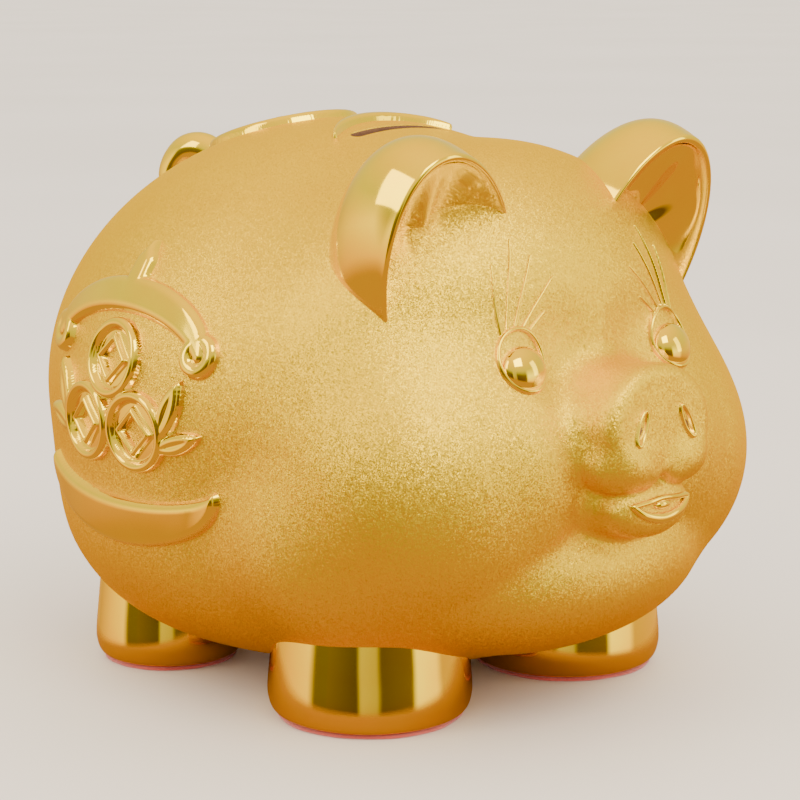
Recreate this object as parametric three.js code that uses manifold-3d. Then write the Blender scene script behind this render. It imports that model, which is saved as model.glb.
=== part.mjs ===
// Golden pig coin bank: a hollow frosted shell with polished ears, feet, tail, face and relief pieces,
// four felt pads and a pull-out stopper under the belly. Millimetres, +Z up, the snout points to -Y.
import * as THREE from 'three';
import { mergeVertices } from 'three/addons/utils/BufferGeometryUtils.js';
import Module from 'manifold-3d';

// ---- driving dimensions ----
const WALL = 5;                    // fired wall of the shell
const GAP = 0.3;                   // free gap between neighbouring pieces
const SHIFT_Y = 3.44;                // moves the whole pig so that its box is centred on the origin
const RAY_CENTRE = [0, 0, 96];     // point inside the pig that sees its whole skin
const SLOT = { y: -9, length: 43, width: 5 };
const HOLE_R = 18;                 // belly hole
const HOLE_Y = 6;
const FRONT_FOOT = { x: 46, y: -45, r: 34 };
const REAR_FOOT = { x: 55, y: 53, r: 26.5 };
const PAD_THICK = 1.2;             // felt under each foot
const RELIEF = 3;                  // height of the flank ornament over the skin
const FLANK = { y: 15, z: 105 };
const MEDAL = { y: 53, r: 27 };
const EYE = { x: 33, z: 123, rx: 9.2, rz: 11 };
const NOSTRIL = { x: 10.4, z: 103.5, tilt: 24 };
const MOUTH = { x: 12, z: 79 };
const STOPPER = { plugR: 17.85, flangeR: 22, depth: 6.5, flange: 2.2 };

// ---- materials ----
const material = (name, color, roughness, metalness) =>
  new THREE.MeshStandardMaterial({ name, color, roughness, metalness });
const FROSTED = material('frosted_gold', 0xf0c878, 0.45, 0.85);
const POLISHED = material('polished_gold', 0xf2b532, 0.08, 1.0);
const FELT = material('red_felt', 0xb02a22, 0.95, 0.0);
const SOFT_WHITE = material('stopper_vinyl', 0xe8e4dc, 0.5, 0.0);

// ---- solids ----
const wasm = await Module();
wasm.setup();

function solid(geometry) {
  const g = geometry.clone();
  g.deleteAttribute('normal');
  g.deleteAttribute('uv');
  const m = mergeVertices(g, 1e-4);
  const make = (tris) => new wasm.Manifold(new wasm.Mesh({
    numProp: 3, vertProperties: new Float32Array(m.attributes.position.array), triVerts: tris,
  }));
  const tris = new Uint32Array(m.index.array);
  const first = make(tris);
  if (first.volume() > 0) return first;
  for (let i = 0; i < tris.length; i += 3) [tris[i], tris[i + 1]] = [tris[i + 1], tris[i]];
  return make(tris);
}

function geometryOf(manifold) {
  const m = manifold.getMesh();
  const g = new THREE.BufferGeometry();
  g.setAttribute('position', new THREE.BufferAttribute(new Float32Array(m.vertProperties), 3));
  g.setIndex(new THREE.BufferAttribute(new Uint32Array(m.triVerts), 1));
  g.computeVertexNormals();
  return g;
}

const union = (list) => list.reduce((a, b) => a.add(b));

// ---- skin of the pig as a distance field, mirrored about x = 0 ----
function ellipsoid(x, y, z, c, r) {
  const a = (x - c[0]) / r[0], b = (y - c[1]) / r[1], d = (z - c[2]) / r[2];
  const k0 = Math.hypot(a, b, d);
  const k1 = Math.hypot(a / r[0], b / r[1], d / r[2]);
  return k0 * (k0 - 1) / Math.max(k1, 1e-9);
}

// Round above its middle and fuller below, like a sack that settles on its belly.
function barrel(x, y, z, c, r, below) {
  const drop = Math.min(Math.max((c[2] - z) / 55, 0), 1);
  const p = 2 + below.power * drop * drop * (3 - 2 * drop);
  const rz = z < c[2] ? below.rz : r[2];
  const a = (x - c[0]) / r[0], b = (y - c[1]) / r[1], h = Math.abs(z - c[2]) / rz;
  const rho = Math.max(Math.hypot(a, b), 1e-6);
  const k = Math.max((rho ** p + h ** p) ** (1 / p), 1e-6);
  const side = (rho / k) ** (p - 1) / rho;
  const slope = Math.hypot(side * a / r[0], side * b / r[1], (h / k) ** (p - 1) / rz);
  return (k - 1) / Math.max(slope, 1e-6);
}

// Oval disc with a rounded edge, its axis along Y and leaning back by a small tilt.
function disc(x, y, z, c, r, half, edge, tilt) {
  const ct = Math.cos(tilt), st = Math.sin(tilt);
  const dy = y - c[1], dz = z - c[2];
  const v = dy * ct + dz * st, w = -dy * st + dz * ct;
  const side = (Math.hypot((x - c[0]) / r[0], w / r[1]) - 1) * Math.min(r[0], r[1]) + edge;
  const end = Math.abs(v) - half + edge;
  return Math.min(Math.max(side, end), 0) + Math.hypot(Math.max(side, 0), Math.max(end, 0)) - edge;
}

function blend(a, b, k) {
  const h = Math.min(Math.max(0.5 + 0.5 * (b - a) / k, 0), 1);
  return b * (1 - h) + a * h - k * h * (1 - h);
}
const carve = (a, b, k) => -blend(-a, b, k);

function skin(px, y, z) {
  const x = Math.abs(px);
  let d = barrel(x, y, z, [0, 14, 98], [106, 114, 93], { rz: 90, power: 1.2 });
  d = blend(d, ellipsoid(x, y, z, [0, -53, 104], [86, 49, 79]), 26);        // head
  d = blend(d, ellipsoid(x, y, z, [0, -61.5, 142], [54, 34, 34]), 20);        // forehead
  d = blend(d, ellipsoid(x, y, z, [39, -72, 80.5], [52, 43, 47.5]), 18);        // cheeks
  d = blend(d, ellipsoid(x, y, z, [60, -48, 62], [36, 34, 34]), 14);        // shoulders
  d = blend(d, ellipsoid(x, y, z, [29, -93, 89], [20, 23, 25]), 12);        // pads beside the snout
  d = blend(d, ellipsoid(x, y, z, [0, -65, 53], [72, 55, 34]), 4);          // chest
  d = blend(d, ellipsoid(x, y, z, [0, -98, 90], [23, 27, 25]), 9);          // muzzle
  d = blend(d, disc(x, y, z, [0, -110.5, 75.5], [17.5, 10], 21, 7, THREE.MathUtils.degToRad(-4)), 5);  // lower jaw
  d = carve(d, ellipsoid(x, y, z, [18, -125, 129], [11, 17, 12]), 16);      // inner eye hollow
  let s = disc(x, y, z, [0, -112, 101.5], [23.5, 19.3], 20, 4.5, THREE.MathUtils.degToRad(-6));
  s = blend(s, ellipsoid(x, y, z, [12, -123, 91.5], [12.5, 11.5, 9.5]), 4);  // snout lobes
  s = carve(s, ellipsoid(x, y, z, [0, -133, 82], [3.2, 16, 5.5]), 4);       // notch between them
  d = blend(d, s, 2 + 6 * THREE.MathUtils.clamp((z - 84) / 14, 0, 1));      // crisper under the snout
  return -blend(-d, z - 8, 12);                                             // flat belly
}

// Distance from the ray centre to the level surface in a given direction.
function reach(dir, level) {
  const [cx, cy, cz] = RAY_CENTRE;
  const f = (t) => skin(cx + dir[0] * t, cy + dir[1] * t, cz + dir[2] * t) - level;
  let t = 190;
  for (let i = 0; i < 80; i++) {
    const d = f(t);
    if (d < 0.02) break;
    t -= 0.8 * d;
  }
  let low = t - 3, high = t + 3;
  for (let i = 0; i < 24; i++) {
    const mid = (low + high) / 2;
    if (f(mid) > 0) high = mid; else low = mid;
  }
  return (low + high) / 2;
}

// Closed skin at a level: a sphere whose pole is the snout, its rings drawn closer round the face.
function levelSolid(level, segments, rings) {
  const g = new THREE.SphereGeometry(1, segments, rings);
  const pos = g.attributes.position;
  for (let i = 0; i < pos.count; i++) {
    const polar = Math.acos(THREE.MathUtils.clamp(-pos.getY(i), -1, 1)) / Math.PI;
    const angle = Math.PI * polar ** 1.85;
    const around = Math.hypot(pos.getX(i), pos.getZ(i));
    const sx = around > 1e-6 ? pos.getX(i) / around : 0;
    const sz = around > 1e-6 ? pos.getZ(i) / around : 0;
    const dir = [Math.sin(angle) * sx, -Math.cos(angle), Math.sin(angle) * sz];
    const t = reach(dir, level);
    pos.setXYZ(i, ...dir.map((d, k) => RAY_CENTRE[k] + d * t));
  }
  return solid(g);
}

// Point and outward normal of the skin along the ray through a given point.
function skinPoint(x, y, z) {
  const v = new THREE.Vector3(x - RAY_CENTRE[0], y - RAY_CENTRE[1], z - RAY_CENTRE[2]).normalize();
  const p = v.clone().multiplyScalar(reach(v.toArray(), 0)).add(new THREE.Vector3(...RAY_CENTRE));
  const e = 0.5;
  const n = new THREE.Vector3(
    skin(p.x + e, p.y, p.z) - skin(p.x - e, p.y, p.z),
    skin(p.x, p.y + e, p.z) - skin(p.x, p.y - e, p.z),
    skin(p.x, p.y, p.z + e) - skin(p.x, p.y, p.z - e)).normalize();
  return { p, n };
}

// Frame on the skin: local Z leaves the skin, local Y is as near to up as it can be.
function skinFrame(x, y, z, up = new THREE.Vector3(0, 0, 1)) {
  const { p, n } = skinPoint(x, y, z);
  const across = new THREE.Vector3().crossVectors(up, n).normalize();
  const rise = new THREE.Vector3().crossVectors(n, across);
  return new THREE.Matrix4().makeBasis(across, rise, n).setPosition(p);
}

const SKIN_GRID = [56, 44];
const OUTER = levelSolid(0, ...SKIN_GRID);
const CLEAR = levelSolid(GAP, ...SKIN_GRID);
const RAISED = levelSolid(RELIEF, ...SKIN_GRID);
const LOW_RAISED = levelSolid(1.6, ...SKIN_GRID);
const INNER = levelSolid(-WALL, 28, 18);

// Prism of a flat outline, in local XY, from depth -back to +front along local Z.
function prism(shape, matrix, back, front, curveSegments = 6) {
  const g = new THREE.ExtrudeGeometry(shape, { depth: back + front, bevelEnabled: false, curveSegments });
  g.translate(0, 0, -back);
  g.applyMatrix4(matrix);
  return solid(g);
}

// Ornament that lies on the skin: prisms trimmed to a shell between the clearance and a height.
const ornament = (prisms, cover) => union(prisms).intersect(cover).subtract(CLEAR);

function outline(points) {
  return new THREE.Shape(points.map(([x, y]) => new THREE.Vector2(x, y)));
}
function oval(x, y, rx, ry, turn = 0) {
  return new THREE.Shape().absellipse(x, y, rx, ry, 0, 2 * Math.PI, false, turn);
}
function withHole(shape, hole) {
  shape.holes.push(hole);
  return shape;
}

// Sphere grid whose vertices are placed by a function of the turn (0..2pi) and of the way (0..1).
function mappedSphere(segments, rings, place) {
  const g = new THREE.SphereGeometry(1, segments, rings);
  const pos = g.attributes.position;
  for (let i = 0; i < pos.count; i++) {
    const way = Math.acos(THREE.MathUtils.clamp(pos.getY(i), -1, 1)) / Math.PI;
    const pole = way < 1e-5 || way > 1 - 1e-5;
    const turn = pole ? 0 : Math.atan2(pos.getZ(i), -pos.getX(i));
    pos.setXYZ(i, ...place(turn, way));
  }
  return solid(g);
}

// Torus whose tube follows a closed loop of points.
function loopTube(loop, radius, sides, steps) {
  const g = new THREE.TorusGeometry(2, 1, sides, steps);
  const curve = new THREE.CatmullRomCurve3(loop, true);
  const frames = curve.computeFrenetFrames(steps, true);
  const pos = g.attributes.position;
  for (let i = 0; i < pos.count; i++) {
    const step = Math.round((((Math.atan2(pos.getY(i), pos.getX(i)) / (2 * Math.PI)) + 1) % 1) * steps) % steps;
    const out = Math.hypot(pos.getX(i), pos.getY(i)) - 2;
    const p = curve.getPointAt(step / steps);
    p.addScaledVector(frames.normals[step], radius * out);
    p.addScaledVector(frames.binormals[step], radius * pos.getZ(i));
    pos.setXYZ(i, p.x, p.y, p.z);
  }
  return solid(g);
}

function lathe(profile, segments, x, y) {
  const g = new THREE.LatheGeometry(profile.map(([r, z]) => new THREE.Vector2(r, z)), segments);
  g.rotateX(Math.PI / 2);
  g.translate(x, y, 0);
  return solid(g);
}

const group = new THREE.Group();
function addPiece(name, manifold, mat) {
  const mesh = new THREE.Mesh(geometryOf(manifold), mat);
  mesh.name = name;
  group.add(mesh);
}
const SIDES = [['right', -1], ['left', 1]];

// ---- shell with its cavity, coin slot and belly hole ----
const top = skinPoint(0, SLOT.y, 200).p.z;
const slotCut = solid(new THREE.BoxGeometry(SLOT.length, SLOT.width, 40).translate(0, SLOT.y, top));
const holeCut = lathe([[0, -20], [HOLE_R, -20], [HOLE_R, 30], [0, 30]], 32, 0, HOLE_Y);
addPiece('body_shell', OUTER.subtract(INNER).subtract(slotCut).subtract(holeCut), FROSTED);

// ---- ears: a rounded cup with a crisp rim, opening forward ----
function ear(side) {
  const c = new THREE.Vector3(-44, -79.5, 147);             // middle of the rim
  const a = new THREE.Vector3(-0.953, 0.072, -0.294);        // across the ear, outward
  const b = new THREE.Vector3(-0.304, -0.254, 0.918);        // up the ear
  const n = new THREE.Vector3().crossVectors(b, a).normalize();
  const place = (turn, way) => {
    const ra = 27, rb = 44.5, sag = 0.15;
    const ridge = 3.5 * Math.exp(-(((turn - 1.6) / 0.3) ** 2)) + 2.5 * Math.exp(-(((turn - 0.6) / 0.25) ** 2));
    let r, depth;
    if (way < 0.58) {
      const s = (way / 0.58) * Math.PI / 2;
      r = Math.sin(s) + 0.2 * Math.sin(2 * s) * Math.sin(s);
      depth = 42 * Math.cos(s) ** 0.9;
    } else if (way < 0.7) {
      const s = (way - 0.58) / 0.12 * Math.PI;
      r = 1 - 0.035 * (1 - Math.cos(s));
      depth = -1.6 * Math.sin(s);
    } else {
      const s = (1 - way) / 0.3;
      r = 0.93 * s;
      depth = 15 * (1 - s * s) ** 0.8 - ridge * 4 * s * (1 - s) * (s < 1 ? 1 : 0);
    }
    const p = c.clone().addScaledVector(a, ra * r * Math.cos(turn)).addScaledVector(b, rb * r * Math.sin(turn));
    p.addScaledVector(n, -depth);
    p.z -= sag * Math.max(depth, 0);
    return [side * -p.x, p.y, p.z];
  };
  return mappedSphere(24, 20, place).subtract(CLEAR);
}
for (const [name, side] of SIDES) addPiece(`ear_${name}`, ear(side), POLISHED);

// ---- tail: a short curl whose tip comes back down to the rump ----
const tailPath = new THREE.CatmullRomCurve3([[0, 97, 147], [-1, 111, 154], [-1.5, 116.8, 164], [0, 112, 172.6],
  [3, 104.5, 174], [6, 98.5, 168.5], [7.5, 96, 160], [8, 94, 152]].map((p) => new THREE.Vector3(...p)));
const tailSection = oval(0, 0, 6, 6);
const tailTube = solid(new THREE.ExtrudeGeometry(tailSection,
  { steps: 16, extrudePath: tailPath, bevelEnabled: false, curveSegments: 5 }));
addPiece('tail', tailTube.subtract(CLEAR), POLISHED);

// ---- feet and their felt pads ----
function foot(place, side) {
  const r = place.r, b = PAD_THICK + GAP;
  return lathe([[0, b], [r - 4, b], [r - 1.4, b + 1.6], [r - 0.2, b + 5], [r, b + 9], [r - 0.9, 20],
    [r - 2.2, 32], [r - 3.8, 44], [r - 10, 54], [0, 57]], 28, side * place.x, place.y).subtract(CLEAR);
}
for (const [name, side] of SIDES) {
  for (const [end, place] of [['front', FRONT_FOOT], ['rear', REAR_FOOT]]) {
    addPiece(`foot_${end}_${name}`, foot(place, side), POLISHED);
    addPiece(`felt_pad_${end}_${name}`, lathe([[0, 0], [place.r - 3.4, 0], [place.r - 3.4, PAD_THICK],
      [0, PAD_THICK]], 28, side * place.x, place.y), FELT);
  }
}

// ---- eyes: oval rim with five lashes, and a dome in its lower part ----
const LASHES = [[-5.2, -4, 20], [-3, 4.4, 27], [-0.4, 9.7, 21], [2.2, 16, 13.5], [4.6, 11.8, 3.5]];
for (const [name, side] of SIDES) {
  const frame = skinFrame(side * EYE.x, -100, EYE.z);
  const lash = ([base, end, high]) => {
    const foot0 = EYE.rz * Math.sqrt(1 - (base / EYE.rx) ** 2) - 1;
    return prism(outline([[-side * base - 0.6, foot0], [-side * base + 0.6, foot0],
      [-side * end + 0.3, EYE.rz + high], [-side * end - 0.3, EYE.rz + high]]), frame, 12, 12);
  };
  const rim = prism(withHole(oval(0, 0, EYE.rx, EYE.rz), oval(0, 0, EYE.rx - 1.5, EYE.rz - 1.5)), frame, 12, 12, 8);
  addPiece(`eye_rim_${name}`, ornament([rim, ...LASHES.map(lash)], LOW_RAISED), POLISHED);
  const dome = new THREE.SphereGeometry(1, 18, 12).scale(EYE.rx - 2.4, EYE.rz * 0.62, 4.4);
  dome.translate(0, -3.1, 0).applyMatrix4(frame);
  const well = prism(oval(0, 0, EYE.rx - 1.5 - GAP, EYE.rz - 1.5 - GAP), frame, 12, 12, 8);
  addPiece(`eye_dome_${name}`, solid(dome).subtract(CLEAR).intersect(well), POLISHED);
}

// ---- nostrils: slanted slits with a thin raised rim ----
for (const [name, side] of SIDES) {
  const frame = skinFrame(side * NOSTRIL.x, -131, NOSTRIL.z);
  const turn = side * THREE.MathUtils.degToRad(NOSTRIL.tilt);
  const rim = prism(withHole(oval(0, 0, 2.2, 6.3, turn), oval(0, 0, 0.9, 4.9, turn)), frame, 8, 8, 4);
  addPiece(`nostril_rim_${name}`, ornament([rim], LOW_RAISED), POLISHED);
}

// ---- mouth: an open smiling lip and a tongue inside it ----
const lipLoop = [[-1, 0], [-0.62, -2.9], [0, -4.4], [0.62, -2.9], [1, 0], [0.5, 1], [0, 1.6], [-0.5, 1]]
  .map(([u, w]) => {
    const { p, n } = skinPoint(u * MOUTH.x, -128, MOUTH.z + w);
    return p.addScaledVector(n, 0.6);
  });
addPiece('mouth_lips', loopTube(lipLoop, 1.6, 7, 28).subtract(CLEAR), POLISHED);
const tongueFrame = skinFrame(0, -128, MOUTH.z - 0.6);
const tongue = new THREE.SphereGeometry(1, 12, 8).scale(3.8, 1.7, 2).applyMatrix4(tongueFrame);
addPiece('tongue', solid(tongue).subtract(CLEAR).subtract(loopTube(lipLoop, 1.6 + GAP, 7, 28)), POLISHED);

// ---- flank ornament: cloud arch, three linked coins between leaves, and a boat-shaped bowl ----
const squareHole = (x, y, half) => outline([[x - half, y], [x, y - half], [x + half, y], [x, y + half]]);
function arc(cx, cy, rx, ry, from, to, wide, steps = 10) {
  const points = [];
  for (let i = 0; i <= steps; i++) {
    const t = THREE.MathUtils.degToRad(from + (to - from) * i / steps);
    const w = wide * Math.sin(Math.PI * (0.12 + 0.76 * i / steps));
    points.push([cx + (rx + w / 2) * Math.cos(t), cy + (ry + w / 2) * Math.sin(t)]);
  }
  for (let i = steps; i >= 0; i--) {
    const t = THREE.MathUtils.degToRad(from + (to - from) * i / steps);
    const w = wide * Math.sin(Math.PI * (0.12 + 0.76 * i / steps));
    points.push([cx + (rx - w / 2) * Math.cos(t), cy + (ry - w / 2) * Math.sin(t)]);
  }
  return outline(points);
}
const curl = (x, y) => withHole(oval(x, y, 7, 7), oval(x, y, 2.4, 2.4));
const ARCH = [arc(0, 13, 38.5, 20, 12, 168, 9), curl(-37, 17), curl(37, 17), oval(0, 41, 4.6, 8)];
const coin = (x, y, r) => withHole(oval(x, y, r, r), squareHole(x, y, r * 0.38));
const leaves = [-1, 1].flatMap((k) => [oval(k * 28, -1.5, 4.2, 10.5, -0.35 * k), oval(k * 31, -11, 3.6, 9.5, -1.25 * k)]);
const COINS = [coin(0, 12.5, 13), coin(-13.2, -9.5, 13.5), coin(13.2, -9.5, 13.5), ...leaves];
const BOWL = [outline([...Array(17)].map((_, i) => {
  const t = Math.PI + Math.PI * i / 16;
  return [46 * Math.cos(t), -26 + 23 * Math.sin(t)];
}).concat([...Array(11)].map((_, i) => {
  const t = -Math.PI * (i + 1) / 12;
  return [43 * Math.cos(t), -26 + 7 * Math.sin(t)];
})))];
for (const [name, side] of SIDES) {
  const frame = new THREE.Matrix4().makeBasis(new THREE.Vector3(0, side, 0), new THREE.Vector3(0, 0, 1),
    new THREE.Vector3(side, 0, 0)).setPosition(side * 60, FLANK.y, FLANK.z);
  for (const [piece, shapes] of [['arch', ARCH], ['coins', COINS], ['bowl', BOWL]]) {
    addPiece(`flank_${piece}_${name}`, ornament(shapes.map((s) => prism(s, frame, 0, 60)), RAISED), POLISHED);
  }
}

// ---- back ornament: coin medallion and the arch over the slot ----
const above = new THREE.Matrix4().setPosition(0, MEDAL.y, 150);
const medalRing = withHole(oval(0, 0, MEDAL.r, MEDAL.r), oval(0, 0, MEDAL.r - 3.8, MEDAL.r - 3.8));
addPiece('medal_ring', ornament([prism(medalRing, above, 0, 60, 12)], RAISED), POLISHED);
const petals = [0, 1, 2, 3].map((k) => {
  const t = Math.PI / 4 + k * Math.PI / 2;
  return oval(12.5 * Math.cos(t), 12.5 * Math.sin(t), 7.4, 3.8, t);
});
const medalHeart = withHole(oval(0, 0, 9, 9), squareHole(0, 0, 5.4));
addPiece('medal_flower', ornament([medalHeart, ...petals].map((s) => prism(s, above, 0, 60)), RAISED), POLISHED);
const overSlot = new THREE.Matrix4().setPosition(0, SLOT.y - 24, 150);
addPiece('slot_arch', ornament([prism(arc(0, 0, 38, 38, 46, 134, 5), overSlot, 0, 60)], RAISED), POLISHED);

// ---- stopper: a soft plug with a flange and a finger grip ----
const bellyZ = skinPoint(0, HOLE_Y, -60).p.z;
const flangeTop = bellyZ - GAP;
const stopper = lathe([[0, flangeTop - STOPPER.flange], [STOPPER.flangeR - 1, flangeTop - STOPPER.flange],
  [STOPPER.flangeR, flangeTop - STOPPER.flange + 1], [STOPPER.flangeR, flangeTop],
  [STOPPER.plugR, flangeTop], [STOPPER.plugR, flangeTop + STOPPER.depth - 1.5],
  [STOPPER.plugR - 1.5, flangeTop + STOPPER.depth], [STOPPER.plugR - 3.5, flangeTop + STOPPER.depth],
  [STOPPER.plugR - 3.5, flangeTop + 1.5], [0, flangeTop + 1.5]], 32, 0, HOLE_Y);
addPiece('belly_stopper', stopper, SOFT_WHITE);

group.position.y = SHIFT_Y;
export default group;
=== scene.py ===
"""Golden pig coin bank: fine surfaces, plating, felt and stopper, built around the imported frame.

The lengths are millimetres until build(), which moves them to the frame of the part in metres.
"""
import math

import bpy
import numpy as np
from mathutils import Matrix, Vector


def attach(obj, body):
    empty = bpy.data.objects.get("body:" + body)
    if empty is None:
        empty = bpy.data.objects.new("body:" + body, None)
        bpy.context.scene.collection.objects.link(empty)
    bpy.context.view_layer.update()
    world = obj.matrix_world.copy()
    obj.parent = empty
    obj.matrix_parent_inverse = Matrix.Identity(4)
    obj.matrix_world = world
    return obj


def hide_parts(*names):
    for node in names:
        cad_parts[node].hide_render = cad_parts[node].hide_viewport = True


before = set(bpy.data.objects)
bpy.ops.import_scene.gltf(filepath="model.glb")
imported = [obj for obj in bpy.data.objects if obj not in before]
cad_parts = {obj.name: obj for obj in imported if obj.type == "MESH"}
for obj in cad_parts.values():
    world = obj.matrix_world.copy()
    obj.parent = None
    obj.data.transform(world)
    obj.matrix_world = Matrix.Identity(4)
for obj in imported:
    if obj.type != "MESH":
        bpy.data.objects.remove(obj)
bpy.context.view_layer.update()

# ---------------------------------------------------------------- dimensions, as in the CAD
SHIFT = np.array([0.0, 3.44, 0.0])         # from the frame of the skin's formula to the frame of the part
RAY_CENTRE = np.array([0.0, 0.0, 96.0])    # inside the belly; every ray to the skin starts here
SLOT_Y, SLOT_L, SLOT_W, SLOT_CORNER = -9.0, 43.0, 5.0, 2.4
HOLE_Y, HOLE_R = 6.0, 18.0
WALL = 5.0
PAD = 1.2                                  # thickness of the felt
# faces deeper than this turn dark brown: bare biscuit inside the shell, painted shade on the walls of the slot and hole
PLATED_DEPTH = 0.45                        # how far the plating runs over the edges of the openings
FRONT_FOOT = (46.0, -45.0, 34.0)           # x, y, radius
REAR_FOOT = (55.0, 53.0, 26.5)
EYE = (33.0, -100.0, 123.0)
EYE_RX, EYE_RZ = 9.2, 11.0
NOSTRIL = (10.4, -131.0, 103.5)
NOSTRIL_LEAN = math.radians(24.0)
MOUTH_X, MOUTH_Z = 12.0, 79.0
FLANK_Y, FLANK_Z = 15.0, 105.0
MEDAL_Y, MEDAL_R = 53.0, 27.0
SIDES = ((-1, "right"), (1, "left"))
MIRROR = np.array([-1.0, 1.0, 1.0])


# ---------------------------------------------------------------- skin of the pig as a distance field
def ellipsoid(p, c, r):
    q = (p - np.asarray(c)) / np.asarray(r)
    k0 = np.linalg.norm(q, axis=1)
    k1 = np.linalg.norm(q / np.asarray(r), axis=1)
    return k0 * (k0 - 1.0) / np.maximum(k1, 1e-9)


def barrel(p, c, r, low_rz, power):
    """Round above its middle and fuller below."""
    drop = np.clip((c[2] - p[:, 2]) / 55.0, 0, 1)
    e = 2 + power * drop * drop * (3 - 2 * drop)
    rz = np.where(p[:, 2] < c[2], low_rz, r[2])
    a, b = (p[:, 0] - c[0]) / r[0], (p[:, 1] - c[1]) / r[1]
    h = np.abs(p[:, 2] - c[2]) / rz
    rho = np.maximum(np.hypot(a, b), 1e-6)
    k = np.maximum((rho ** e + h ** e) ** (1 / e), 1e-6)
    side = (rho / k) ** (e - 1) / rho
    slope = np.sqrt((side * a / r[0]) ** 2 + (side * b / r[1]) ** 2 + ((h / k) ** (e - 1) / rz) ** 2)
    return (k - 1) / np.maximum(slope, 1e-6)


def disc(p, c, r, half, edge, tilt):
    """Oval disc with a rounded edge, its axis near Y and tilted by some degrees."""
    ct, st = math.cos(math.radians(tilt)), math.sin(math.radians(tilt))
    dy, dz = p[:, 1] - c[1], p[:, 2] - c[2]
    v, w = dy * ct + dz * st, -dy * st + dz * ct
    side = (np.hypot((p[:, 0] - c[0]) / r[0], w / r[1]) - 1) * min(r) + edge
    end = np.abs(v) - half + edge
    return np.minimum(np.maximum(side, end), 0) + np.hypot(np.maximum(side, 0), np.maximum(end, 0)) - edge


def smooth(a, b, k):
    """Union of two distances with a blend of width k."""
    h = np.clip(0.5 + 0.5 * (b - a) / k, 0, 1)
    return b * (1 - h) + a * h - k * h * (1 - h)


def carve(a, b, k):
    """Takes the second shape out of the first with a blend of width k."""
    return -smooth(-a, b, k)


def rod(p, a, b, ra, rb):
    """Tapering round rod from a to b."""
    a, b = np.asarray(a, float), np.asarray(b, float)
    t = np.clip((p - a) @ (b - a) / ((b - a) @ (b - a)), 0, 1)
    return np.linalg.norm(p - a - t[:, None] * (b - a), axis=1) - (ra + (rb - ra) * t)


def folded(points):
    p = points.copy()
    p[:, 0] = np.abs(p[:, 0])
    return p


def skin(points):
    """Signed distance of the plain skin, mirrored about x = 0."""
    p = folded(points)
    d = barrel(p, (0, 14, 98), (106, 114, 93), 90, 1.2)
    d = smooth(d, ellipsoid(p, (0, -53, 104), (86, 49, 79)), 26)
    d = smooth(d, ellipsoid(p, (0, -61.5, 142), (54, 34, 34)), 20)
    d = smooth(d, ellipsoid(p, (39, -72, 80.5), (52, 43, 47.5)), 18)
    d = smooth(d, ellipsoid(p, (60, -48, 62), (36, 34, 34)), 14)
    d = smooth(d, ellipsoid(p, (29, -93, 89), (20, 23, 25)), 12)
    d = smooth(d, ellipsoid(p, (0, -65, 53), (72, 55, 34)), 4)
    d = smooth(d, ellipsoid(p, (0, -98, 90), (23, 27, 25)), 9)
    d = smooth(d, disc(p, (0, -110.5, 75.5), (17.5, 10), 21, 7, -4), 5)
    d = carve(d, ellipsoid(p, (18, -125, 129), (11, 17, 12)), 16)
    s = disc(p, (0, -112, 101.5), (23.5, 19.3), 20, 4.5, -6)
    s = smooth(s, ellipsoid(p, (12, -123, 91.5), (12.5, 11.5, 9.5)), 4)
    s = carve(s, ellipsoid(p, (0, -133, 82), (3.2, 16, 5.5)), 4)
    d = smooth(d, s, 2 + 6 * np.clip((p[:, 2] - 84) / 14, 0, 1))
    return -smooth(-d, p[:, 2] - 8, 12)


def carved_skin(points):
    """The skin with its nostril slits."""
    up = np.array([-math.sin(NOSTRIL_LEAN), 0.0, math.cos(NOSTRIL_LEAN)]) * 4.0
    mid = np.array([NOSTRIL[0], -133.0, NOSTRIL[2]])
    return carve(skin(points), rod(folded(points), mid - up, mid + up, 1.7, 1.5), 0.8)


def radial(dirs, field, level=0.0):
    """Distance from the ray centre to a level of the field, marching inwards from outside."""
    t = np.full(len(dirs), 152.0)
    live = np.arange(len(dirs))
    for _ in range(120):
        d = field(RAY_CENTRE + dirs[live] * t[live, None]) - level
        t[live] -= 0.8 * np.maximum(d, 0)
        live = live[d > 0.01]
        if not len(live):
            break
    low, high = t - 1.5, t + 0.5
    for _ in range(12):
        mid = (low + high) / 2
        out = field(RAY_CENTRE + dirs * mid[:, None]) > level
        high = np.where(out, mid, high)
        low = np.where(out, low, mid)
    return (low + high) / 2


def normals_of(p, field, e=0.35):
    n = np.stack([field(p + o) - field(p - o) for o in np.eye(3) * e], axis=1)
    return n / np.maximum(np.linalg.norm(n, axis=1), 1e-9)[:, None]


def skin_point(x, y, z):
    """Where the ray towards a point meets the skin, and the normal there."""
    d = np.array([[x, y, z]], float) - RAY_CENTRE
    d /= np.linalg.norm(d)
    p = RAY_CENTRE + d * radial(d, skin)[:, None]
    return p[0], normals_of(p, skin)[0]


def skin_frame(x, y, z):
    """Origin on the skin and the axes across, up and out."""
    p, n = skin_point(x, y, z)
    across = np.cross((0, 0, 1), n)
    across /= np.linalg.norm(across)
    return p, across, np.cross(n, across), n


# ---------------------------------------------------------------- mesh helpers
def build(name, verts, faces, mat):
    me = bpy.data.meshes.new(name)
    me.from_pydata(((np.asarray(verts) + SHIFT) / 1000).tolist(), [], [list(map(int, f)) for f in faces])
    me.update()
    me.shade_smooth()
    me.materials.append(mat)
    ob = bpy.data.objects.new(name, me)
    bpy.context.scene.collection.objects.link(ob)
    return ob


def finished(ob, node, body="bank"):
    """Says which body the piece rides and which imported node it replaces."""
    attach(ob, body)
    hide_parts(node)


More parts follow.
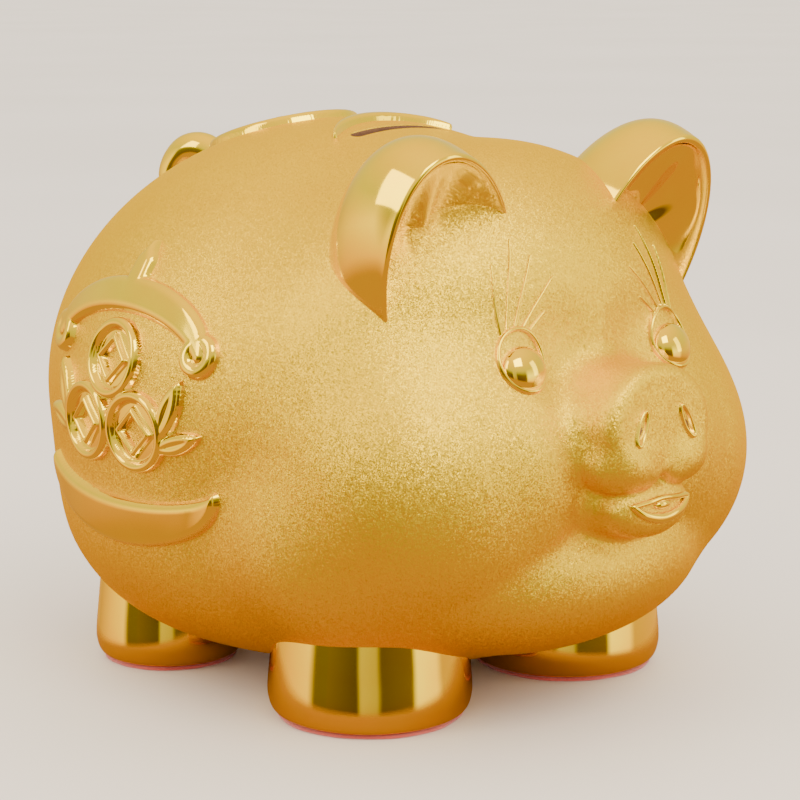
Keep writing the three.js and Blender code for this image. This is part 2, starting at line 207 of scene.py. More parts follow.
def ring_faces(nu, nv, closed=False):
    """Quads between nv rings of nu points; a closed set joins its last ring to its first."""
    out = []
    for j in range(nv if closed else nv - 1):
        here, there = j * nu, (j + 1) % nv * nu
        out += [(here + i, here + (i + 1) % nu, there + (i + 1) % nu, there + i) for i in range(nu)]
    return out


def closed_rows(rows, pole_a, pole_b):
    """Closed mesh from rings of points between two pole points."""
    nv, nu = rows.shape[:2]
    verts = np.vstack([rows.reshape(-1, 3), pole_a[None], pole_b[None]])
    faces = ring_faces(nu, nv)
    a, b, last = nu * nv, nu * nv + 1, nu * (nv - 1)
    faces += [(a, (i + 1) % nu, i) for i in range(nu)]
    faces += [(b, last + i, last + (i + 1) % nu) for i in range(nu)]
    return verts, faces


def bead(name, centre, axes, size, nu, nv):
    """Polished ellipsoid with its half sizes along three given axes."""
    t = 2 * np.pi * np.arange(nu) / nu
    s = np.pi * np.arange(1, nv) / nv
    ball = np.stack([np.sin(s)[:, None] * np.cos(t), np.sin(s)[:, None] * np.sin(t),
                     np.repeat(np.cos(s)[:, None], nu, 1)], 2)
    arms = np.asarray(size, float)[:, None] * np.array(axes)
    return outward(build(name, *closed_rows(centre + ball @ arms, centre + arms[2], centre - arms[2]), POLISHED))


def ball_surface(nu, nv, power, field, level=0.0):
    """Level surface on a polar grid whose first pole is the snout, with rings drawn closer round the face."""
    v = np.pi * (np.arange(1, nv) / nv) ** power
    u = 2 * np.pi * np.arange(nu) / nu
    d = np.stack([np.sin(v)[:, None] * np.cos(u), np.repeat(-np.cos(v)[:, None], nu, 1),
                  np.sin(v)[:, None] * np.sin(u)], axis=2)
    flat = np.vstack([d.reshape(-1, 3), [[0, -1, 0], [0, 1, 0]]])
    p = RAY_CENTRE + flat * radial(flat, field, level)[:, None]
    return closed_rows(p[:-2].reshape(nv - 1, nu, 3), p[-2], p[-1])


def outward(ob):
    """Turns the faces out if the volume comes out negative."""
    me = ob.data
    co = np.empty(len(me.vertices) * 3)
    me.vertices.foreach_get("co", co)
    co = co.reshape(-1, 3)
    me.calc_loop_triangles()
    tri = np.empty(len(me.loop_triangles) * 3, int)
    me.loop_triangles.foreach_get("vertices", tri)
    a, b, c = co[tri[0::3]], co[tri[1::3]], co[tri[2::3]]
    if np.einsum("ij,ij->i", a, np.cross(b, c)).sum() < 0:
        me.flip_normals()
    return ob


def swap_mesh(ob, me):
    old = ob.data
    ob.data = me
    bpy.data.meshes.remove(old)


def join(ob, other):
    """Adds the second object's faces to the first and removes the second."""
    verts, faces, base = [], [], 0
    for o in (ob, other):
        verts += [tuple(v.co) for v in o.data.vertices]
        faces += [[i + base for i in f.vertices] for f in o.data.polygons]
        base += len(o.data.vertices)
    me = bpy.data.meshes.new(ob.name)
    me.from_pydata(verts, [], faces)
    me.update()
    me.shade_smooth()
    for m in ob.data.materials:
        me.materials.append(m)
    swap_mesh(ob, me)
    bpy.data.objects.remove(other)
    return ob


# ---------------------------------------------------------------- relief on the skin
def pill(sd, high, wide):
    """Height of a rounded ridge from the inside distance to its edge, sinking away outside it."""
    t = 1 - np.clip(sd / wide, 0, 1)
    return np.where(sd > 0, high * np.sqrt(np.maximum(1 - t * t, 0)), np.maximum(sd * 1.5, -1.2))


def stroke(u, v, points, radii):
    """Inside distance of a line of points whose radius changes along it."""
    best = np.full(u.shape, -1e3)
    pts, rad = np.asarray(points, float), np.asarray(radii, float)
    for (a, b, ra, rb) in zip(pts[:-1], pts[1:], rad[:-1], rad[1:]):
        d = b - a
        t = np.clip(((u - a[0]) * d[0] + (v - a[1]) * d[1]) / max(d @ d, 1e-9), 0, 1)
        best = np.maximum(best, ra + (rb - ra) * t - np.hypot(u - a[0] - t * d[0], v - a[1] - t * d[1]))
    return best


def arc_points(cx, cy, rx, ry, start, end, n):
    """Points along an ellipse between two angles in degrees."""
    t = np.radians(np.linspace(start, end, n))
    return np.stack([cx + rx * np.cos(t), cy + ry * np.sin(t)], axis=1)


def taper(n, thick, thin, power):
    """Radii of a stroke that is thick in the middle and thin at both ends."""
    s = np.linspace(0, 1, n)
    return thin + (thick - thin) * np.sin(np.pi * s) ** power


RELIEF_EDGE = -0.55        # a relief ends where its height has sunk this far below the skin
RELIEF_ROOT = 1.5          # its underside lies this far below the skin


def relief(name, origin, axes, spans, step, height, lift=60.0):
    """Polished heightfield that lies on the skin, dropped onto it against the third axis from a lift above."""
    (u0, u1), (v0, v1) = spans
    nu, nv = int((u1 - u0) / step) + 1, int((v1 - v0) / step) + 1
    u, v = np.meshgrid(np.linspace(u0, u1, nu), np.linspace(v0, v1, nv))
    h = height(u, v)
    keep = h > RELIEF_EDGE
    cell = keep[:-1, :-1] | keep[1:, :-1] | keep[:-1, 1:] | keep[1:, 1:]
    used = np.zeros_like(keep)
    used[:-1, :-1] |= cell
    used[1:, :-1] |= cell
    used[:-1, 1:] |= cell
    used[1:, 1:] |= cell
    ax, ay, az = (np.asarray(a, float) for a in axes)
    start = np.asarray(origin) + u[used][:, None] * ax + v[used][:, None] * ay + lift * az
    t = np.zeros(len(start))
    for _ in range(60):
        t += 0.85 * np.maximum(skin(start - t[:, None] * az), 0)
    base = start - t[:, None] * az
    n = normals_of(base, skin)
    top, low = base + n * h[used][:, None], base - n * RELIEF_ROOT
    number = np.full(keep.shape, -1)
    number[used] = np.arange(used.sum())
    count = len(top)
    cells = np.argwhere(cell)
    a, b = number[cells[:, 0], cells[:, 1]], number[cells[:, 0], cells[:, 1] + 1]
    c, d = number[cells[:, 0] + 1, cells[:, 1] + 1], number[cells[:, 0] + 1, cells[:, 1]]
    faces = np.vstack([np.stack([a, b, c, d], 1), np.stack([d, c, b, a], 1) + count])
    edges = np.vstack([np.stack(e, 1) for e in ((a, b), (b, c), (c, d), (d, a))])
    key = edges[:, 0] * count + edges[:, 1]
    back = edges[:, 1] * count + edges[:, 0]
    rim = edges[~np.isin(key, back)]
    walls = np.stack([rim[:, 1], rim[:, 0], rim[:, 0] + count, rim[:, 1] + count], 1)
    return outward(build(name, np.vstack([top, low]), np.vstack([faces, walls]), POLISHED))


# ---------------------------------------------------------------- materials
def material(name):
    """A node material, its tree and shader, a maker of nodes, and the object coordinates."""
    mt = bpy.data.materials.new(name)
    mt.use_nodes = True
    nt = mt.node_tree
    bsdf = nt.nodes["Principled BSDF"]

    def node(kind, **settings):
        n = nt.nodes.new(kind)
        for key, value in settings.items():
            if key in n.inputs.keys():
                n.inputs[key].default_value = value
            else:
                setattr(n, key, value)
        return n
    coord = node("ShaderNodeTexCoord").outputs["Object"]
    return mt, nt, bsdf, node, coord


def ramp(nt, source, stops):
    """Colours along a value, given as (position, colour) pairs."""
    r = nt.nodes.new("ShaderNodeValToRGB")
    while len(r.color_ramp.elements) < len(stops):
        r.color_ramp.elements.new(0.5)
    for e, (pos, colour) in zip(r.color_ramp.elements, stops):
        e.position, e.color = pos, (*colour, 1)
    nt.links.new(source, r.inputs["Fac"])
    return r.outputs["Color"]


def spread(nt, source, low, high):
    """A value from 0 to 1 spread over a range."""
    m = nt.nodes.new("ShaderNodeMapRange")
    nt.links.new(source, m.inputs["Value"])
    m.inputs["To Min"].default_value = low
    m.inputs["To Max"].default_value = high
    return m.outputs["Result"]


def frosted_gold():
    """Sandblasted plating: a satin metal made of tiny facets, each tilted its own way."""
    mt, nt, bsdf, node, coord = material("frosted_gold")
    link = nt.links.new
    bsdf.inputs["Metallic"].default_value = 1.0
    bsdf.inputs["Specular Tint"].default_value = (1.0, 0.72, 0.22, 1)
    mottle = node("ShaderNodeTexNoise", Scale=38.0, Detail=5.0, Roughness=0.6)
    link(coord, mottle.inputs["Vector"])
    gold = ramp(nt, mottle.outputs["Fac"], [(0.25, (0.95, 0.68, 0.002)), (0.75, (0.98, 0.74, 0.008))])
    link(gold, bsdf.inputs["Base Color"])
    grain = node("ShaderNodeTexNoise", Scale=2400.0, Detail=2.0)
    link(coord, grain.inputs["Vector"])
    link(spread(nt, grain.outputs["Fac"], 0.34, 0.48), bsdf.inputs["Roughness"])
    cells = node("ShaderNodeTexVoronoi", Scale=3200.0)
    link(coord, cells.inputs["Vector"])
    middle = node("ShaderNodeVectorMath", operation="SUBTRACT")
    link(cells.outputs["Color"], middle.inputs[0])
    middle.inputs[1].default_value = (0.5, 0.5, 0.5)
    tilt = node("ShaderNodeVectorMath", operation="SCALE")
    link(middle.outputs[0], tilt.inputs[0])
    tilt.inputs["Scale"].default_value = 0.50
    bump = node("ShaderNodeBump", Strength=0.25, Distance=0.0003)
    link(grain.outputs["Fac"], bump.inputs["Height"])
    total = node("ShaderNodeVectorMath", operation="ADD")
    link(bump.outputs["Normal"], total.inputs[0])
    link(tilt.outputs[0], total.inputs[1])
    unit = node("ShaderNodeVectorMath", operation="NORMALIZE")
    link(total.outputs[0], unit.inputs[0])
    link(unit.outputs[0], bsdf.inputs["Normal"])
    return mt


def polished_gold():
    """Bright plating over glaze: a mirror with the slow waves of a hand-finished casting and faint smears."""
    mt, nt, bsdf, node, coord = material("polished_gold")
    link = nt.links.new
    bsdf.inputs["Metallic"].default_value = 1.0
    smear = node("ShaderNodeTexNoise", Scale=60.0, Detail=4.0, Roughness=0.6)
    link(coord, smear.inputs["Vector"])
    gold = ramp(nt, smear.outputs["Fac"], [(0.3, (1.0, 0.75, 0.002)), (0.7, (1.0, 0.81, 0.01))])
    link(gold, bsdf.inputs["Base Color"])
    link(spread(nt, smear.outputs["Fac"], 0.04, 0.13), bsdf.inputs["Roughness"])
    wave = node("ShaderNodeTexNoise", Scale=38.0, Detail=1.0)
    link(coord, wave.inputs["Vector"])
    bump = node("ShaderNodeBump", Strength=0.3, Distance=0.0008)
    link(wave.outputs["Fac"], bump.inputs["Height"])
    link(bump.outputs["Normal"], bsdf.inputs["Normal"])
    return mt


def felt():
    """Pressed red wool: tangled fibres over a slow patchiness."""
    mt, nt, bsdf, node, coord = material("red_felt")
    link = nt.links.new
    fibre = node("ShaderNodeTexNoise", Scale=1400.0, Detail=6.0, Roughness=0.75, Distortion=1.2)
    link(coord, fibre.inputs["Vector"])
    patch = node("ShaderNodeTexNoise", Scale=90.0, Detail=3.0)
    link(coord, patch.inputs["Vector"])
    both = node("ShaderNodeMath", operation="MULTIPLY_ADD")
    link(fibre.outputs["Fac"], both.inputs[0])
    both.inputs[1].default_value = 0.7
    link(spread(nt, patch.outputs["Fac"], 0.0, 0.3), both.inputs[2])
    red = ramp(nt, both.outputs[0], [(0.2, (0.24, 0.012, 0.008)), (0.8, (0.72, 0.07, 0.04))])
    link(red, bsdf.inputs["Base Color"])
    bsdf.inputs["Roughness"].default_value = 0.95
    bsdf.inputs["Sheen Weight"].default_value = 0.5
    bsdf.inputs["Sheen Roughness"].default_value = 0.6
    bump = node("ShaderNodeBump", Strength=0.9, Distance=0.0004)
    link(fibre.outputs["Fac"], bump.inputs["Height"])
    link(bump.outputs["Normal"], bsdf.inputs["Normal"])
    return mt


def vinyl():
    """Soft milky plug, a little clouded."""
    mt, nt, bsdf, node, coord = material("stopper_vinyl")
    link = nt.links.new
    cloud = node("ShaderNodeTexNoise", Scale=120.0, Detail=4.0)
    link(coord, cloud.inputs["Vector"])
    milk = ramp(nt, cloud.outputs["Fac"], [(0.3, (0.80, 0.76, 0.66)), (0.7, (0.90, 0.87, 0.80))])
    link(milk, bsdf.inputs["Base Color"])
    link(spread(nt, cloud.outputs["Fac"], 0.32, 0.5), bsdf.inputs["Roughness"])
    bsdf.inputs["Subsurface Weight"].default_value = 0.25
    bsdf.inputs["Subsurface Radius"].default_value = (0.004, 0.003, 0.002)
    fine = node("ShaderNodeTexNoise", Scale=900.0, Detail=3.0)
    link(coord, fine.inputs["Vector"])
    bump = node("ShaderNodeBump", Strength=0.3, Distance=0.0002)
    link(fine.outputs["Fac"], bump.inputs["Height"])
    link(bump.outputs["Normal"], bsdf.inputs["Normal"])
    return mt


def bare_ceramic_and_painted_shade():
    """Unplated brown biscuit inside the shell and down in the slot; on the walls of the slot and the belly hole its
    dark brown is also painted shade.
    """
    mt, nt, bsdf, node, coord = material("bare_ceramic_and_painted_shade")
    cloud = node("ShaderNodeTexNoise", Scale=160.0, Detail=5.0)
    nt.links.new(coord, cloud.inputs["Vector"])
    biscuit_and_shade = ramp(nt, cloud.outputs["Fac"], [(0.3, (0.13, 0.055, 0.022)), (0.7, (0.20, 0.09, 0.04))])
    nt.links.new(biscuit_and_shade, bsdf.inputs["Base Color"])
    bsdf.inputs["Roughness"].default_value = 0.85
    return mt


FROSTED, POLISHED, FELT, VINYL, BARE_AND_SHADE = frosted_gold(), polished_gold(), felt(), vinyl(), bare_ceramic_and_painted_shade()


# ---------------------------------------------------------------- shell
def cut(ob, cutter):
    """Takes the cutter out of the object and removes the cutter."""
    mod = ob.modifiers.new("cut", "BOOLEAN")
    mod.operation = "DIFFERENCE"
    mod.object = cutter
    mod.solver = "MANIFOLD"
    done = bpy.data.meshes.new_from_object(ob.evaluated_get(bpy.context.evaluated_depsgraph_get()))
    ob.modifiers.clear()
    swap_mesh(ob, done)
    bpy.data.objects.remove(cutter)


def prism(name, outline, low, high):
    """Upright prism over an outline in x and y, used as a cutting tool."""
    n = len(outline)
    verts = np.vstack([np.column_stack([outline, np.full(n, z)]) for z in (low, high)])
    faces = ring_faces(n, 2) + [tuple(range(n))[::-1], tuple(range(n, 2 * n))]
    return outward(build(name, verts, faces, FROSTED))


def slot_outline(n=12):
    """Outline of the slot in x and y, with points about a millimetre apart and n at each corner."""
    r = SLOT_CORNER
    hx, hy = SLOT_L / 2 - r, SLOT_W / 2 - r
    out = []
    for cx, cy, start in ((hx, hy, 0), (-hx, hy, 90), (-hx, -hy, 180), (hx, -hy, 270)):
        for k in range(n):
            t = math.radians(start + 90 * k / (n - 1))
            out.append((cx + r * math.cos(t), SLOT_Y + cy + r * math.sin(t)))
    dense = []
    for (ax, ay), (bx, by) in zip(out, out[1:] + out[:1]):
        steps = max(1, int(math.hypot(bx - ax, by - ay) / 1.0))
        dense += [(ax + (bx - ax) * k / steps, ay + (by - ay) * k / steps) for k in range(steps)]
    return np.array(dense)


def outward_offset(loop, amount):
    """Moves the points of a closed loop out along their normals."""
    d = np.roll(loop, -1, 0) - np.roll(loop, 1, 0)
    n = np.stack([d[:, 1], -d[:, 0]], 1)
    n /= np.maximum(np.linalg.norm(n, axis=1), 1e-9)[:, None]
    return loop + n * amount


def drop_on_top(xy):
    """Points on the skin of the back at the given x and y."""
    p = np.column_stack([xy, np.full(len(xy), 215.0)])
    for _ in range(50):
        p[:, 2] -= 0.85 * np.maximum(skin(p), 0)
    return p


# the section of the lip that lines the slot: how far out from the slot's outline, and how far below the skin
SLOT_LIP = [(1.7, 0.35), (1.5, 0.02), (1.1, -0.06), (0.6, -0.06), (0.2, 0.0), (0.02, 0.25), (0.0, 1.2), (0.0, 3.5),
            (0.1, 5.6), (1.0, 6.0), (2.0, 5.6), (2.2, 3.0), (2.1, 0.9)]


def slot_lip():
    """Soft lip that lines the slot, from the skin down through the wall."""
    rings = []
    for grow, sink in SLOT_LIP:
        ring = drop_on_top(outward_offset(slot_outline(), grow))
        ring[:, 2] -= sink
        rings.append(ring)
    rows = np.array(rings)
    faces = ring_faces(rows.shape[1], rows.shape[0], closed=True)
    return outward(build("slot_lip", rows.reshape(-1, 3), faces, FROSTED))


def shell():
    """Skin less cavity, coin slot and belly hole, with the slot's lip."""
    nu, nv = ((360, 252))
    body = outward(build("shell_skin", *ball_surface(nu, nv, 1.85, carved_skin), FROSTED))
    cut(body, outward(build("shell_cavity", *ball_surface(64, 40, 1.5, skin, -WALL), FROSTED)))
    cut(body, prism("slot_tool", outward_offset(slot_outline(), 0.9), 176.0, 205.0))
    t = np.linspace(0, 2 * np.pi, 96, endpoint=False)
    ring = np.stack([HOLE_R * np.cos(t), HOLE_Y + HOLE_R * np.sin(t)], 1)
    cut(body, prism("hole_tool", ring, -5.0, 30.0))
    body.data.materials.clear()
    body.data.materials.append(FROSTED)
    body.name = "body_shell_fine"
    return join(body, slot_lip())


def unplate_and_shade(ob):
    """Gives the bare material, which is also painted shade on the walls of the openings, to the faces that lie deeper
    than the plated edge.
    """
    me = ob.data
    me.materials.append(BARE_AND_SHADE)
    middles = np.empty(len(me.polygons) * 3)
    me.polygons.foreach_get("center", middles)
    # faces deeper than the plated edge turn dark brown: bare biscuit inside, painted shade on the slot walls
    deep = skin(middles.reshape(-1, 3) * 1000 - SHIFT) < -PLATED_DEPTH
    me.polygons.foreach_set("material_index", deep.astype(np.int32))
    me.update()
    return ob


finished(unplate_and_shade(shell()), "body_shell")


# ---------------------------------------------------------------- ears
EAR_MIDDLE = np.array([-44, -79.5, 147])           # middle of the right ear's rim
EAR_OUT = np.array([-0.953, 0.072, -0.294])        # across the ear
EAR_UP = np.array([-0.304, -0.254, 0.918])
EAR_RX, EAR_RZ = 27, 44.5
EAR_DEPTH, EAR_CUP = 42, 15                        # from the rim to the back of the ear and to the bottom of its cup
EAR_SAG = 0.15
BACK_END, RIM_END = 0.58, 0.70                     # shares of the section taken by the back, and by the back and rim


def ear(side, name):
    """Cupped ear, opening forward, with a crisp rolled rim and a forked ridge inside."""
    facing = np.cross(EAR_UP, EAR_OUT)
    nu, nv = 192, 120
    w, turn = np.meshgrid(np.arange(1, nv) / nv, 2 * np.pi * np.arange(nu) / nu, indexing="ij")
    back = np.clip(w / BACK_END, 0, 1) * np.pi / 2
    back_r = np.sin(back) + 0.2 * np.sin(2 * back) * np.sin(back)
    back_d = EAR_DEPTH * np.cos(back) ** 0.9
    rim = np.clip((w - BACK_END) / (RIM_END - BACK_END), 0, 1) * np.pi
    rim_r = 1 - 0.035 * (1 - np.cos(rim))
    rim_d = -1.6 * np.sin(rim)
    cup = np.clip((1 - w) / (1 - RIM_END), 0, 1)
    ridge = 3.5 * np.exp(-((turn - 1.6) / 0.3) ** 2) + 2.5 * np.exp(-((turn - 0.6) / 0.25) ** 2)
    cup_r = 0.93 * cup
    cup_d = EAR_CUP * (1 - cup * cup) ** 0.8 - ridge * 4 * cup * (1 - cup)
    r = np.where(w < BACK_END, back_r, np.where(w < RIM_END, rim_r, cup_r))
    d = np.where(w < BACK_END, back_d, np.where(w < RIM_END, rim_d, cup_d))
    p = (EAR_MIDDLE + EAR_OUT * (EAR_RX * r * np.cos(turn))[..., None] + EAR_UP * (EAR_RZ * r * np.sin(turn))[..., None]
         - facing * d[..., None])
    p[..., 2] -= EAR_SAG * np.maximum(d, 0)
    inward = facing + np.array([0, 0, EAR_SAG])
    poles = [EAR_MIDDLE - inward * EAR_DEPTH, EAR_MIDDLE - inward * EAR_CUP]
    if side > 0:
        p = p * MIRROR
        poles = [q * MIRROR for q in poles]
    finished(outward(build(name + "_fine", *closed_rows(p, *poles), POLISHED)), name)


for side, word in SIDES:
    ear(side, "ear_" + word)


# ---------------------------------------------------------------- tail, feet, pads
def spline(points, n):
    """Catmull-Rom through the points."""
    p = np.asarray(points, float)
    p = np.vstack([2 * p[0] - p[1], p, 2 * p[-1] - p[-2]])
    out = []
    for s in np.linspace(0, len(p) - 3 - 1e-9, n):
        i = int(s)
        t = s - i
        a, b, c, d = p[i:i + 4]
        out.append(0.5 * (2 * b + (c - a) * t + (2 * a - 5 * b + 4 * c - d) * t * t + (3 * b - a - 3 * c + d) * t ** 3))
    return np.array(out)


def tube(name, path, radii, sides=40, closed=False):
    """Polished round tube along a path, with flat ends or joined into a loop."""
    d = np.roll(path, -1, 0) - np.roll(path, 1, 0) if closed else np.gradient(path, axis=0)
    d /= np.linalg.norm(d, axis=1)[:, None]
    up = np.array([1.0, 0, 0]) if abs(d[0][0]) < 0.8 else np.array([0, 0, 1.0])
    rows = []
    x = up - d[0] * (up @ d[0])
    t = 2 * np.pi * np.arange(sides) / sides
    for point, along, radius in zip(path, d, radii):
        x = x - along * (x @ along)
        x /= np.linalg.norm(x)
        y = np.cross(along, x)
        rows.append(point + radius * (np.cos(t)[:, None] * x + np.sin(t)[:, None] * y))
    rows = np.array(rows)
    if closed:
        return outward(build(name, rows.reshape(-1, 3), ring_faces(sides, len(path), closed=True), POLISHED))
    return outward(build(name, *closed_rows(rows, path[0] - d[0] * 0.01, path[-1] + d[-1] * 0.01), POLISHED))


tail_path = spline([[0, 97, 147], [-1, 111, 154], [-1.5, 116.8, 164], [0, 112, 172.6], [3, 104.5, 174],
                    [6, 98.5, 168.5], [7.5, 96, 160], [8, 94, 152]], 120)
tail_radii = 6.8 - 1.4 * np.linspace(0, 1, 120) ** 1.5
finished(tube("tail_fine", tail_path, tail_radii), "tail")


def turned(name, profile, x, y, mat, sides=128):
    """Solid of revolution about an upright axis; the profile of (radius, z) starts and ends on it."""
    t = 2 * np.pi * np.arange(sides) / sides
    rows = np.array([[(x + r * math.cos(a), y + r * math.sin(a), z) for a in t] for r, z in profile[1:-1]])
    poles = (np.array([x, y, z]) for z in (profile[0][1], profile[-1][1]))
    return outward(build(name, *closed_rows(rows, *poles), mat))


def foot_profile(r):
    """Short stump with a rounded sole and a slight taper into the belly."""
    b = PAD + 0.05
    pts = spline([(r - 7, b), (r - 3.6, b + 0.1), (r - 1.3, b + 1.8), (r - 0.2, b + 5), (r, b + 9), (r - 0.9, 20),
                  (r - 2.2, 32), (r - 3.8, 44), (r - 10, 54)], 80)
    return [(0, b), (0.5 * (r - 7), b), *pts, (0, 57)]


def pad(name, x, y, r, sides=160):
    """Felt disc: soft rolled edge, slightly wavy where it was cut by hand."""
    t = 2 * np.pi * np.arange(sides) / sides
    wob = 1 + 0.006 * np.sin(5 * t + x) + 0.004 * np.sin(11 * t + y)
    rows = []
    for f, z in ((0.5, 0.0), (0.985, 0.0), (0.997, 0.15), (1.0, 0.5), (0.998, 0.95), (0.985, PAD), (0.5, PAD)):
        rows.append(np.stack([x + r * f * wob * np.cos(t), y + r * f * wob * np.sin(t), np.full(sides, z)], 1))
    return outward(build(name, *closed_rows(np.array(rows), np.array([x, y, 0.0]), np.array([x, y, PAD])), FELT))


for side, word in SIDES:
    for end, (fx, fy, fr) in (("front", FRONT_FOOT), ("rear", REAR_FOOT)):
        finished(turned(f"foot_{end}_{word}_fine", foot_profile(fr), side * fx, fy, POLISHED),
                 f"foot_{end}_{word}")
        finished(pad(f"felt_{end}_{word}_fine", side * fx, fy, fr - 3.0), f"felt_pad_{end}_{word}")


# ---------------------------------------------------------------- eyes
# each lash: where it leaves the rim, how far its tip leans out, how far the tip clears the rim, and its bow
LASHES = [(-5.2, -4, 20, -1.6), (-3, 4.4, 27, -1.2), (-0.4, 9.7, 21, -0.8), (2.2, 16, 13.5, -0.8),
          (4.6, 11.8, 3.5, -0.3)]


def eye(side, word):
    """Oval rim with its lashes, and the dome low inside it."""
    o, *axes = skin_frame(side * EYE[0], EYE[1], EYE[2])
    ring = arc_points(0, 0, EYE_RX - 0.7, EYE_RZ - 0.7, 0, 360, 72)

    def height(u, v):
        h = pill(stroke(u, v, ring, np.full(len(ring), 0.8)), 1.35, 0.8)
        for base, tip, long, bow in LASHES:
            foot = EYE_RZ * math.sqrt(1 - (base / EYE_RX) ** 2) - 0.8
            middle = (-side * (base + tip + bow) / 2, foot + (EYE_RZ + long - foot) * 0.5)
            pts = spline([(-side * base, foot), middle, (-side * tip, EYE_RZ + long)], 12)
            h = np.maximum(h, pill(stroke(u, v, pts, np.linspace(0.55, 0.22, 12)), 0.75, 0.55))
        return h
    rim = relief(f"eye_rim_{word}_fine", o, axes, ((-18, 18), (-13, 41)), 0.24, height, lift=14)
    finished(rim, f"eye_rim_{word}")
    dome = bead(f"eye_dome_{word}_fine", o - 2.6 * axes[1], axes, (EYE_RX - 1.2, 7.5, 4.6), 72, 48)
    finished(dome, f"eye_dome_{word}")


for side, word in SIDES:
    eye(side, word)


# ---------------------------------------------------------------- nostrils, mouth
def nostril(side, word):
    """Thin rim round the slit."""
    o, *axes = skin_frame(side * NOSTRIL[0], NOSTRIL[1], NOSTRIL[2])
    c, s = math.cos(NOSTRIL_LEAN * side), math.sin(NOSTRIL_LEAN * side)
    loop = arc_points(0, 0, 1.7, 5.7, 0, 360, 48) @ np.array([[c, s], [-s, c]])

    def height(u, v):
        return pill(stroke(u, v, loop, np.full(len(loop), 0.62)), 0.8, 0.62)
    rim = relief(f"nostril_rim_{word}_fine", o, axes, ((-6, 6), (-8, 8)), 0.15, height, lift=10)
    finished(rim, f"nostril_rim_{word}")


for side, word in SIDES:
    nostril(side, word)

lip_points = []
for across, up in ((-1, 0), (-0.62, -2.9), (0, -4.4), (0.62, -2.9), (1, 0), (0.5, 1), (0, 1.6), (-0.5, 1)):
    point, normal = skin_point(across * MOUTH_X, -128, MOUTH_Z + up)
    lip_points.append(point + normal * 0.6)
lip_path = spline(np.array(lip_points + lip_points[:1]), 121)[:-1]
lip_radii = 1.0 + 0.85 * np.exp(-((np.arange(120) / 120 - 0.25) / 0.16) ** 2)
finished(tube("mouth_lips_fine", lip_path, lip_radii, 32, closed=True), "mouth_lips")
o, *axes = skin_frame(0, -128, MOUTH_Z - 0.4)
finished(bead("tongue_fine", o, axes, (3.6, 1.7, 1.8), 56, 32), "tongue")


# ---------------------------------------------------------------- flank ornament
def diamond(u, v, cx, cy, half):
    """Inside distance of a square that stands on its corner."""
    return (half - np.abs(u - cx) - np.abs(v - cy)) / math.sqrt(2)


def coin(u, v, cx, cy, r):
    """Old square-holed coin: raised rim, sunk field and a raised border round the hole."""
    rho = np.hypot(u - cx, v - cy)
    half_hole = 0.38 * r
    hole = diamond(u, v, cx, cy, half_hole)
    field = np.minimum(r - rho, -hole)
    rim = np.minimum(r - rho, rho - r + 3.9)
    h = np.maximum(pill(field, 0.6, 0.5), pill(rim, 3.1, 1.8))
    border = np.minimum(diamond(u, v, cx, cy, half_hole + 3.6), -hole)
    return np.where(field > -0.9, np.maximum(h, pill(border, 2.6, 1.2)), h)


def arch_height(u, v):
    """Arch with curled ends and a drop standing on its crown."""
    pts = arc_points(0, 13, 38.5, 20, 12, 168, 40)
    h = pill(stroke(u, v, pts, taper(40, 5.6, 3.2, 0.7)), 3.0, 3.0)
    for k in (-1, 1):
        rho = np.hypot(u - k * 37, v - 17)
        h = np.maximum(h, pill(np.minimum(7.2 - rho, rho - 2.1), 3.0, 2.2))
    drop = stroke(u, v, [(0, 33), (0, 38), (0, 42.5), (0, 49)], [3.6, 4.6, 4.2, 0.7])
    return np.maximum(h, pill(drop, 3.0, 2.6))


def coins_height(u, v):
    """Three coins with two veined leaves on each side."""
    h = coin(u, v, 0, 12.5, 13.2)
    for k in (-1, 1):
        h = np.maximum(h, coin(u, v, k * 13.2, -9.5, 13.6))
        for thick, line in ((4.3, [(k * 24.3, -11), (k * 28, -1.5), (k * 31.8, 8.6)]),
                            (3.7, [(k * 22, -14), (k * 31, -11.5), (k * 40, -8)])):
            leaf = stroke(u, v, spline(line, 16), taper(16, thick, 0.6, 0.8))
            vein = 0.45 * np.exp(-((leaf - leaf.max()) / 0.7) ** 2)
            h = np.maximum(h, pill(leaf, 2.7, 2.2) - vein)
    return h


def bowl_height(u, v):
    """Shallow crescent."""
    pts = arc_points(0, -26, 44.6, 15.0, 182, 358, 48)
    return pill(stroke(u, v, pts, taper(48, 8.1, 0.9, 0.8)), 3.0, 3.2)


for side, word in SIDES:
    axes = ((0, side, 0), (0, 0, 1), (side, 0, 0))
    for piece, height, spans in (("arch", arch_height, ((-47, 47), (6, 51))),
                                 ("coins", coins_height, ((-43, 43), (-25, 27))),
                                 ("bowl", bowl_height, ((-48, 48), (-51, -22)))):
        ob = relief(f"flank_{piece}_{word}_fine", (side * 60, FLANK_Y, FLANK_Z), axes, spans, 0.42, height)
        finished(ob, f"flank_{piece}_{word}")


# ---------------------------------------------------------------- back ornament
UP = ((1, 0, 0), (0, 1, 0), (0, 0, 1))


def ring_height(u, v):
    rho = np.hypot(u, v)
    return pill(np.minimum(MEDAL_R - rho, rho - MEDAL_R + 3.8), 2.8, 1.9)


def flower_height(u, v):
    """Four petals round a square-holed boss."""
    rho = np.hypot(u, v)
    hole = diamond(u, v, 0, 0, 5.4)
    h = pill(np.minimum(9 - rho, -hole), 2.4, 1.4)
    for k in range(4):
        a = math.pi / 4 + k * math.pi / 2
        c, s = math.cos(a), math.sin(a)
        petal = stroke(u, v, [(7 * c, 7 * s), (13 * c, 13 * s), (19.6 * c, 19.6 * s)], [2.6, 3.9, 0.7])
        h = np.maximum(h, pill(petal, 2.8, 2.4))
    return h


def slot_arch_height(u, v):
    pts = arc_points(0, 0, 38, 38, 46, 134, 40)
    return pill(stroke(u, v, pts, taper(40, 2.6, 0.8, 0.8)), 2.6, 1.9)


